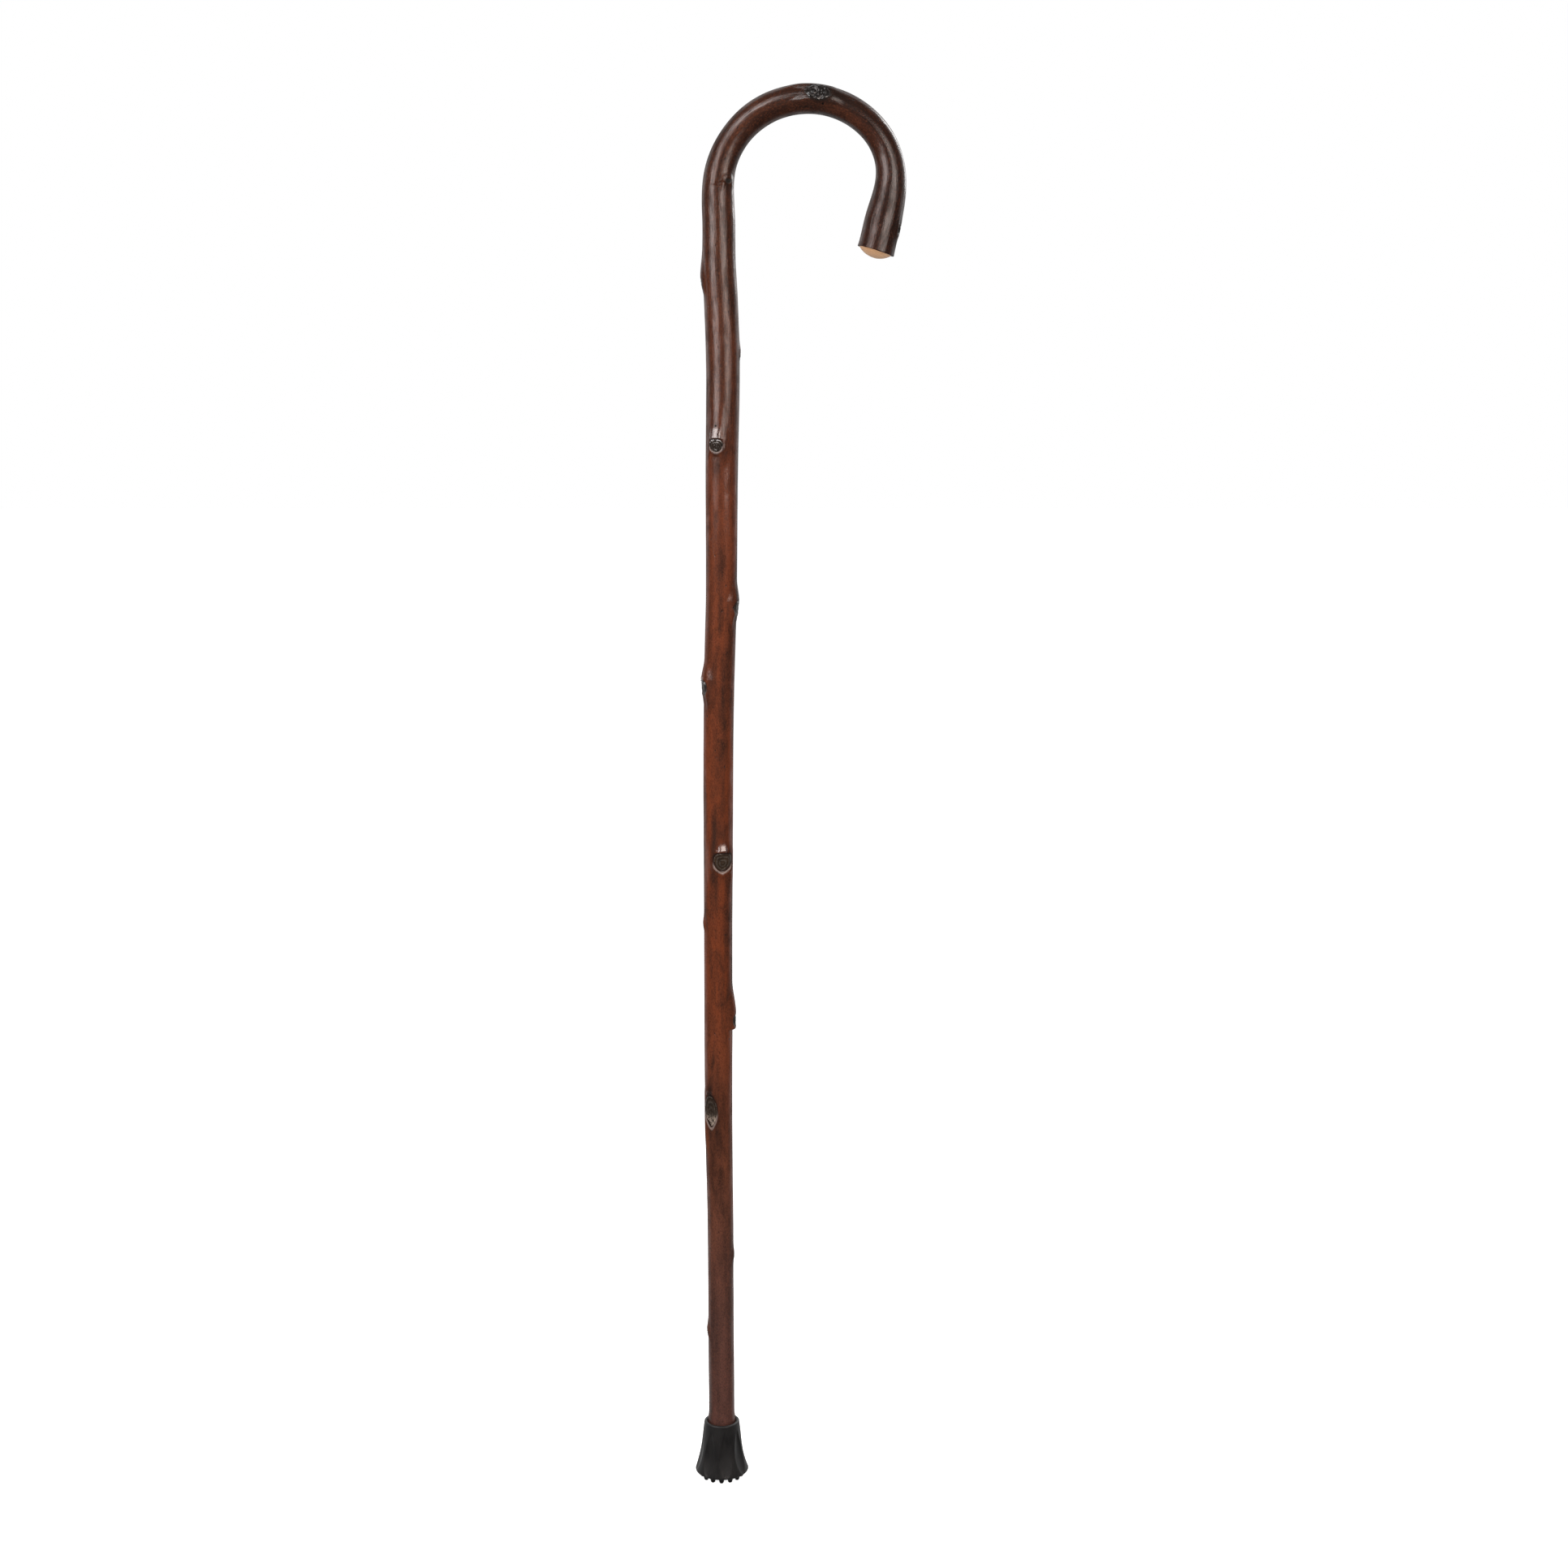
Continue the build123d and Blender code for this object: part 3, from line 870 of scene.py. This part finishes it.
# ---------------------------------------------------------------- materials
class Nodes:
    """Short calls for building the nodes of a material or a world."""

    def __init__(self, block, shader="Principled BSDF"):
        self.block = block
        block.use_nodes = True
        self.tree = block.node_tree
        self.shader = self.tree.nodes[shader]

    def add(self, kind, **inputs):
        """A node, its inputs set from values or from other nodes' outputs."""
        node = self.tree.nodes.new("ShaderNode" + kind)
        self.feed(node, **inputs)
        return node

    def feed(self, node, **inputs):
        for key, value in inputs.items():
            socket = node.inputs[int(key[1:])] if key[0] == "_" else node.inputs[key.replace("_", " ")]
            if isinstance(value, bpy.types.NodeSocket):
                self.tree.links.new(value, socket)
            else:
                socket.default_value = value

    def shade(self, **inputs):
        self.feed(self.shader, **inputs)

    def attribute(self, name, output="Fac"):
        node = self.add("Attribute")
        node.attribute_name = name
        return node.outputs[output]

    def part(self, vector, axis):
        return self.add("SeparateXYZ", Vector=vector).outputs[axis]

    def length(self, vector):
        node = self.add("VectorMath", _0=vector)
        node.operation = "LENGTH"
        return node.outputs["Value"]

    def place(self):
        """Where a point is in its object's own frame."""
        return self.add("TexCoord").outputs["Object"]

    def stretched(self, source, scale):
        """Coordinates scaled along each axis: a small third scale makes long streaks."""
        return self.add("Mapping", Vector=source, Scale=scale).outputs["Vector"]

    def noise(self, source, scale, detail=4.0, roughness=0.55, distortion=0.0):
        node = self.add(
            "TexNoise", Vector=self.stretched(source, scale), Scale=1.0, Detail=detail,
            Roughness=roughness, Distortion=distortion,
        )
        return node.outputs["Fac"]

    def specks(self, source, scale):
        """The distance to the nearest of many scattered points."""
        vector = self.stretched(source, scale)
        return self.add("TexVoronoi", Vector=vector, Scale=1.0).outputs["Distance"]

    def ramp(self, factor, *stops):
        """A colour or grey ramp from (position, value) stops."""
        node = self.add("ValToRGB", Fac=factor)
        elements = node.color_ramp.elements
        while len(elements) < len(stops):
            elements.new(0.5)
        for element, (position, value) in zip(elements, stops):
            element.position = position
            element.color = (*value, 1) if isinstance(value, tuple) else (value, value, value, 1)
        return node.outputs["Color"]

    def mix(self, factor, a, b):
        node = self.add("Mix")
        node.data_type = "RGBA"
        for index, value in ((0, factor), (6, a), (7, b)):
            if isinstance(value, tuple):
                value = (*value, 1)
            self.feed(node, **{f"_{index}": value})
        return node.outputs[2]

    def layered(self, colour, *layers):
        """A colour under layers, each a share that covers it and a colour."""
        for cover, paint in layers:
            colour = self.mix(cover, colour, paint)
        return colour

    def maths(self, operation, a, b=0.0, c=0.0):
        node = self.add("Math", _0=a, _1=b, _2=c)
        node.operation = operation
        return node.outputs[0]

    def times(self, a, b):
        return self.maths("MULTIPLY", a, b)

    def plus(self, a, b):
        return self.maths("ADD", a, b)

    def bump(self, height, distance, strength=1.0, normal=None):
        node = self.add("Bump", Height=height, Distance=distance, Strength=strength)
        if normal is not None:
            self.feed(node, Normal=normal)
        return node.outputs["Normal"]


NEAR_BLACK = (0.007, 0.005, 0.004)
# painted shade: the dark inside the pinholes
PAINTED_PINHOLE_SHADE = (0.002, 0.002, 0.002)
LINE_BROWN = (0.016, 0.008, 0.006)
# part stain round the knots, part painted shade below them
STAIN_AND_SHADE_BROWN = (0.011, 0.007, 0.0055)
GRIT_TAN = (0.20, 0.06, 0.025)
# painted highlight: the pale light caught on the crest of the ridge under a cut
PAINTED_CREST_HIGHLIGHT = (0.28, 0.21, 0.185)
# The bark's dark streaks and its lighter ones, at shares of the way from the foot to the nose.
DARK_STREAKS = (
    (0.00, (0.062, 0.030, 0.025)), (0.10, (0.060, 0.028, 0.022)), (0.20, (0.046, 0.017, 0.010)),
    (0.58, (0.040, 0.014, 0.008)), (0.67, (0.036, 0.013, 0.0075)), (0.78, (0.026, 0.009, 0.005)),
    (0.95, (0.015, 0.0055, 0.0035)),
)
LIGHT_STREAKS = (
    (0.00, (0.095, 0.042, 0.034)), (0.10, (0.105, 0.044, 0.032)), (0.20, (0.125, 0.040, 0.020)),
    (0.32, (0.150, 0.034, 0.011)), (0.60, (0.125, 0.031, 0.012)), (0.67, (0.090, 0.026, 0.012)),
    (0.78, (0.058, 0.018, 0.008)), (0.88, (0.050, 0.016, 0.0075)), (0.95, (0.034, 0.011, 0.006)),
)


def bark_material():
    """Stained, varnished bark: long streaks that follow the stem, redder in the lower half, dull
    purple-brown at the foot and dark brown round the handle, with dark pores, dark patches round the
    knots that are part stain and part painted shade, painted shade in the pinholes and in the crevice
    round each cut, and a painted highlight on the ridge's crest below some cuts."""
    n = Nodes(bpy.data.materials.new("stained_bark"))
    grain = n.attribute("grain", "Vector")
    stain_and_shade = n.attribute("stain_and_shade")
    broad = n.noise(grain, (0.12, 0.12, 0.012), 2, 0.5, 0.4)
    blotches = n.noise(grain, (0.16, 0.16, 0.06), 4, 0.6, 0.8)
    streaks = n.noise(grain, (0.40, 0.40, 0.035), 4, 0.6, 0.6)
    fibres = n.noise(grain, (1.1, 1.1, 0.12), 5, 0.65, 0.3)
    grit = n.noise(grain, (1.3, 1.3, 0.8), 5, 0.7)
    share = n.maths("DIVIDE", n.part(grain, "Z"), LENGTH)
    lifted = n.plus(n.times(blotches, 0.4), n.times(broad, 0.7))
    light = n.ramp(lifted, (0.43, 0.0), (0.63, 1.0))
    handle = n.ramp(share, (0.6, 0.12), (0.75, 0.9))
    lines = n.ramp(n.noise(grain, (0.7, 0.7, 0.08), 4, 0.6, 0.3), (0.34, 0.6), (0.5, 0.0))
    fine_lines = n.ramp(fibres, (0.35, 0.4), (0.5, 0.0))
    pore = n.ramp(n.specks(grain, (0.20, 0.20, 0.08)), (0.045, 0.9), (0.075, 0.0))
    ragged = n.maths("MULTIPLY_ADD", grit, 1.2, n.attribute("pinhole_reach"))
    hole = n.ramp(n.times(ragged, 0.5), (0.65, 1.0), (0.78, 0.0))
    near_cut = n.times(n.attribute("knot_reach"), 0.4)
    # painted highlight: the crest of the ridge round a cut is painted pale, for the light it catches
    painted_crest = n.ramp(near_cut, (0.33, 0.0), (0.35, 1.0), (0.385, 1.0), (0.42, 0.0))
    painted_crest = n.times(painted_crest, n.ramp(grit, (0.35, 0.4), (0.55, 1.0)))
    colour = n.layered(
        n.mix(light, n.ramp(share, *DARK_STREAKS), n.ramp(share, *LIGHT_STREAKS)),
        (n.times(lines, handle), LINE_BROWN),
        (n.times(fine_lines, handle), NEAR_BLACK),
        (n.ramp(grit, (0.32, 0.50), (0.50, 0.0)), NEAR_BLACK),
        (n.ramp(grit, (0.52, 0.0), (0.72, 0.35)), GRIT_TAN),
        (pore, NEAR_BLACK),
        # painted shade: near-black inside the pinholes, over their shallow pits
        (hole, PAINTED_PINHOLE_SHADE),
        # darker round the knots: part stain, part painted shade
        (n.times(stain_and_shade, n.ramp(lifted, (0.40, 1.0), (0.66, 0.5))), STAIN_AND_SHADE_BROWN),
        # painted shade: a near-black ring in the crevice where each cut end tucks under the bark
        (n.ramp(near_cut, (0.37, 0.8), (0.44, 0.0)), NEAR_BLACK),
        # painted highlight on the ridge's crest under the cut
        (n.times(painted_crest, n.attribute("crest_highlight")), PAINTED_CREST_HIGHLIGHT),
    )
    n.shade(Base_Color=colour, Specular_IOR_Level=0.05, Roughness=0.55)
    gloss = n.times(n.attribute("gloss"), n.ramp(fibres, (0.32, 0.5), (0.42, 1.0)))
    varnish = n.maths("MULTIPLY_ADD", stain_and_shade, -0.5, n.ramp(fibres, (0.3, 0.5), (0.6, 1.0)))
    varnish = n.times(varnish, n.ramp(blotches, (0.38, 0.45), (0.56, 1.0)))
    varnish = n.times(varnish, n.maths("SUBTRACT", 1.0, hole))
    turned_away = n.add("LayerWeight", Blend=0.5).outputs["Facing"]
    varnish = n.times(varnish, n.ramp(turned_away, (0.55, 1.0), (0.85, 0.25)))
    n.shade(Coat_Weight=n.maths("MAXIMUM", varnish, gloss))
    n.shade(Coat_IOR=n.maths("MULTIPLY_ADD", gloss, 0.5, 1.5))
    n.shade(Coat_Roughness=n.ramp(streaks, (0.3, 0.07), (0.7, 0.16)))
    ridges = None
    depths = ((streaks, 0.00012), (fibres, 0.00010), (grit, 0.00006), (n.times(pore, -1.0), 0.0002))
    for height, depth in depths:
        ridges = n.bump(height, depth, normal=ridges)
    n.shade(Normal=ridges, Coat_Normal=ridges)
    return n.block


KNOT_BLACK = (0.006, 0.005, 0.005)
KNOT_OLIVE = (0.042, 0.023, 0.011)
RING_GREY = (0.10, 0.085, 0.07)
CRUMB_BUFF = (0.46, 0.37, 0.30)
# painted highlight: white glints on the roll along a cut's top edge
PAINTED_GLINT_WHITE = (0.76, 0.75, 0.76)


def knot_material():
    """The cut branch ends: black or olive brown under varnish, with grey growth-ring crests, crumbs of
    paler broken bark, and painted white highlights as glints along the roll at the top edge."""
    n = Nodes(bpy.data.materials.new("dark_knots"))
    grain = n.attribute("grain", "Vector")
    reach = n.attribute("cut_reach")
    mottle = n.noise(grain, (0.9, 0.9, 0.9), 5, 0.65, 0.5)
    speckle = n.noise(grain, (1.2, 1.2, 0.9), 5, 0.7)
    rings = n.maths("PINGPONG", n.plus(n.times(reach, 3.4), n.times(mottle, 0.9)), 0.5)
    brown = n.attribute("brown")
    crests = n.times(n.ramp(rings, (0.15, 0.0), (0.45, 0.6)), n.plus(brown, 0.15))
    crumbs = n.times(n.attribute("crumbs"), n.ramp(speckle, (0.44, 0.0), (0.54, 1.0)))
    # painted highlight: white glints along the roll at the cut's top edge
    painted_glints = n.times(n.attribute("painted_glints"), n.ramp(mottle, (0.49, 0.0), (0.55, 1.0)))
    colour = n.layered(
        n.mix(brown, KNOT_BLACK, KNOT_OLIVE),
        (crests, RING_GREY),
        (n.ramp(mottle, (0.35, 0.8), (0.55, 0.0)), NEAR_BLACK),
        (crumbs, CRUMB_BUFF),
        (n.ramp(painted_glints, (0.4, 0.0), (0.7, 1.0)), PAINTED_GLINT_WHITE),
    )
    n.shade(Base_Color=colour, Roughness=n.ramp(mottle, (0.3, 0.35), (0.7, 0.55)))
    rim = n.ramp(reach, (0.7, 0.0), (0.8, 1.0))
    wet = n.maths("MAXIMUM", n.ramp(mottle, (0.42, 0.1), (0.60, 1.0)), rim)
    n.shade(Specular_IOR_Level=0.12, Coat_Weight=n.times(n.attribute("gloss"), wet))
    n.shade(Coat_IOR=1.9, Coat_Roughness=0.06)
    n.shade(Normal=n.bump(n.plus(mottle, n.times(rings, 0.5)), 0.0003, 0.8))
    return n.block


PALE_WOOD = (0.60, 0.36, 0.19)
TAN_WOOD = (0.42, 0.22, 0.10)
RAY_CREAM = (0.68, 0.44, 0.25)
PORE_BROWN = (0.16, 0.07, 0.03)
PITH_BROWN = (0.14, 0.06, 0.03)
PITH = (1.3, -0.9)                # its place across the nose
RINGS_PER_MM = 0.62


def wood_material():
    """Bare chestnut end grain: growth rings round the pith, fine rays and a few pores."""
    n = Nodes(bpy.data.materials.new("bare_wood"))
    grain = n.attribute("grain", "Vector")
    flat = n.add("SeparateXYZ", Vector=grain)
    x, y = (n.plus(flat.outputs[axis], -place) for axis, place in zip("XY", PITH))
    radius = n.length(n.add("CombineXYZ", X=x, Y=y).outputs[0])
    warp = n.times(n.noise(grain, (0.22, 0.22, 0.05), 3, 0.5), 1.1)
    rings = n.maths("FRACT", n.plus(n.times(radius, RINGS_PER_MM), warp))
    turn = n.maths("ARCTAN2", y, x)
    ray_at = n.add("CombineXYZ", X=n.times(turn, 14.0), Y=n.times(radius, 0.12)).outputs[0]
    rays = n.add("TexNoise", Vector=ray_at, Scale=1.0, Detail=3.0).outputs["Fac"]
    pore = n.ramp(n.specks(grain, (1.9, 1.9, 0.15)), (0.10, 0.7), (0.2, 0.0))
    edges = n.ramp(rings, (0.0, 0.75), (0.2, 0.1), (0.8, 0.0), (1.0, 0.75))
    colour = n.layered(
        n.mix(edges, PALE_WOOD, TAN_WOOD),
        (n.ramp(rays, (0.35, 0.4), (0.6, 0.0)), RAY_CREAM),
        (pore, PORE_BROWN),
        (n.ramp(n.noise(grain, (0.1, 0.1, 0.1), 3), (0.4, 0.0), (0.7, 0.35)), TAN_WOOD),
        (n.ramp(n.times(radius, 0.5), (0.35, 0.85), (0.6, 0.0)), PITH_BROWN),
    )
    n.shade(Base_Color=colour, Roughness=n.ramp(rays, (0.3, 0.42), (0.7, 0.58)))
    n.shade(Coat_Weight=0.25, Coat_Roughness=0.25)
    relief = n.maths("SUBTRACT", n.times(rays, 0.5), n.plus(pore, n.times(rings, 0.2)))
    n.shade(Normal=n.bump(relief, 0.00015, 0.7))
    return n.block


def rubber_material():
    """Moulded black rubber: a soft grey bloom, scuffs, and a fine matte skin."""
    n = Nodes(bpy.data.materials.new("black_rubber"))
    place = n.place()
    bloom = n.noise(place, (90, 90, 60), 4, 0.6)
    skin = n.noise(place, (2600, 2600, 2600), 3, 0.6)
    scuffs = n.noise(place, (500, 500, 90), 5, 0.7, 1.5)
    colour = n.mix(n.ramp(bloom, (0.35, 0.0), (0.7, 1.0)), (0.005, 0.005, 0.0055), (0.012, 0.0115, 0.0115))
    colour = n.mix(n.ramp(scuffs, (0.60, 0.0), (0.75, 0.5)), colour, (0.035, 0.034, 0.033))
    n.shade(Base_Color=colour, Roughness=n.ramp(bloom, (0.3, 0.42), (0.7, 0.60)))
    n.shade(Sheen_Weight=0.05, Sheen_Roughness=0.5)
    n.shade(Normal=n.bump(scuffs, 0.00008, 0.5, n.bump(skin, 0.00004, 0.6)))
    return n.block


def steel_material():
    """Dull zinc-plated steel with turned rings and a little rust in patches."""
    n = Nodes(bpy.data.materials.new("plated_steel"))
    place = n.place()
    radius = n.length(n.stretched(place, (1000, 1000, 0)))
    turned = n.maths("SINE", n.times(radius, 22.0))
    spangle = n.noise(place, (400, 400, 400), 4, 0.6)
    rust = n.ramp(n.noise(place, (180, 180, 180), 5, 0.7), (0.58, 0.0), (0.72, 0.8))
    colour = n.mix(n.ramp(spangle, (0.35, 0.0), (0.7, 1.0)), (0.48, 0.48, 0.47), (0.62, 0.62, 0.60))
    colour = n.mix(rust, colour, (0.20, 0.08, 0.03))
    n.shade(Base_Color=colour, Metallic=n.ramp(rust, (0.2, 1.0), (0.8, 0.2)))
    n.shade(Roughness=n.ramp(spangle, (0.3, 0.3), (0.7, 0.48)))
    n.shade(Normal=n.bump(n.plus(turned, spangle), 0.00002, 0.6))
    return n.block


# ---------------------------------------------------------------- the studio
FLOOR_SIZE = 14.0
FLOOR_GRID = 8
FLOOR_FRONT = 3.0                 # how far it reaches in front of the stick
WHITE_BEHIND = (0.02, 0.55)       # the varnish mirrors white from this far round, as a cosine
DIM_ROOM = 0.08                   # what the varnish mirrors of the rest of the room
FLOOR_GLOW = 0.6                  # how bright the varnish mirrors the floor, as a share of the backdrop
FLOOR_WHITE = 0.9                 # what the floor gives off to the camera, over the light it's lit by
AMBIENT = 0.72                    # the room's own light, strongest from straight before and behind


def white_behind(n, depth):
    """What the varnish mirrors in a direction: white behind the stick, nearly dark in front."""
    shade = n.add("MapRange", Value=depth)
    shade.interpolation_type = "SMOOTHSTEP"
    shade.inputs["From Min"].default_value, shade.inputs["From Max"].default_value = WHITE_BEHIND
    shade.inputs["To Min"].default_value = DIM_ROOM
    return shade.outputs["Result"]


def floor_material():
    """Plain white paper with a faint shadow. In the varnish it's dim in front, as if the paper ended
    just before the stick."""
    n = Nodes(bpy.data.materials.new("studio_floor"))
    place = n.place()
    rays = n.add("LightPath").outputs
    mirrored, seen = rays["Is Glossy Ray"], rays["Is Camera Ray"]
    back = n.part(n.add("NewGeometry").outputs["Incoming"], "Y")
    behind = white_behind(n, n.times(back, -1.0))
    glow = n.times(n.times(mirrored, behind), FLOOR_GLOW)
    tone = n.ramp(n.noise(place, (3, 3, 3), 3), (0.3, 0.78), (0.7, 0.82))
    n.shade(Base_Color=n.mix(mirrored, tone, (0.0, 0.0, 0.0)), Roughness=0.9)
    n.shade(Specular_IOR_Level=0.0, Emission_Color=(1, 1, 1, 1))
    n.shade(Emission_Strength=n.maths("MULTIPLY_ADD", seen, FLOOR_WHITE, glow))
    n.shade(Normal=n.bump(n.noise(place, (300, 300, 300), 4), 0.0002, 0.2))
    return n.block


def make_floor():
    mesh = bpy.data.meshes.new("studio_floor")
    half, row = FLOOR_SIZE / 2, FLOOR_GRID + 1
    steps = np.linspace(-half, half, row)
    points = [(x, y + half - FLOOR_FRONT, 0.0) for y in steps for x in steps]
    corners = [j * row + i for j in range(FLOOR_GRID) for i in range(FLOOR_GRID)]
    faces = [(k, k + 1, k + row + 1, k + row) for k in corners]
    mesh.from_pydata(points, [], faces)
    mesh.materials.append(floor_material())
    add_object("studio_floor", mesh)


def make_world():
    """White wherever the camera looks. It lights the stick from before and behind more than from the
    sides. In the varnish it is white behind the stick, which lights the stick's edges, and nearly dark
    in front, so that its face mirrors only the soft boxes."""
    world = bpy.data.worlds.new("studio")
    bpy.context.scene.world = world
    n = Nodes(world, "Background")
    depth = n.part(n.add("TexCoord").outputs["Generated"], "Y")
    rays = n.add("LightPath").outputs
    ambient = n.times(n.times(depth, depth), AMBIENT)
    lit = n.mix(rays["Is Diffuse Ray"], white_behind(n, depth), ambient)
    strength = n.maths("MAXIMUM", lit, rays["Is Camera Ray"])
    n.shade(Color=(1, 1, 1, 1), Strength=strength)


def add_soft_box(name, place, target, size, radiance, colour):
    """A soft box at a place, facing a target, of a width and height in metres."""
    light = bpy.data.lights.new(name, "AREA")
    light.shape = "RECTANGLE"
    light.size, light.size_y = size
    light.energy = radiance * math.pi * size[0] * size[1]
    light.color = colour
    box = add_object(name, light)
    box.location = place
    box.rotation_euler = (Vector(place) - Vector(target)).to_track_quat("Z", "Y").to_euler()
    box.visible_camera = False


def make_lights():
    """A tall soft box to the left and a low one to the right, whose lower edges stop level with the
    middle of the stem, draw the two streaks up the varnish; one overhead draws the streak along the top
    of the crook, and a small one behind picks out the crook's outer edge."""
    cool, warm, white = (1.0, 0.92, 0.90), (1.0, 0.87, 0.80), (1.0, 1.0, 1.0)
    add_soft_box("left_soft_box", (-0.82, -0.88, 1.35), (0, 0, 1.35), (0.80, 1.4), 5.8, cool)
    add_soft_box("right_soft_box", (0.68, -0.99, 0.97), (0, 0, 0.97), (0.70, 0.66), 6.0, warm)
    add_soft_box("top_soft_box", (-0.32, -1.15, 1.9), (0, 0, 0.9), (0.66, 0.5), 7.0, white)
    add_soft_box("edge_soft_box", (0.95, 1.15, 1.35), (0.06, 0, 0.86), (0.4, 0.9), 9.0, white)


CAMERA_PLACE = (0.0420, -1.4915, 0.7396)
CAMERA_TILT = 10.05               # degrees down
CAMERA_LENS = 54.07               # on a 36 mm sensor


def make_camera():
    camera = bpy.data.cameras.new("camera")
    camera.sensor_width = 36.0
    camera.lens = CAMERA_LENS
    camera.clip_start = 0.05
    viewer = add_object("camera", camera)
    viewer.location = CAMERA_PLACE
    viewer.rotation_euler = (math.radians(90 - CAMERA_TILT), 0, 0)
    bpy.context.scene.camera = viewer


def main():
    make_bark(bark_material())
    make_core(wood_material())
    make_cuts(knot_material())
    make_ferrule(rubber_material())
    make_washer(steel_material())
    make_floor()
    make_world()
    make_lights()
    make_camera()
    bpy.context.scene.view_settings.view_transform = "Standard"


main()
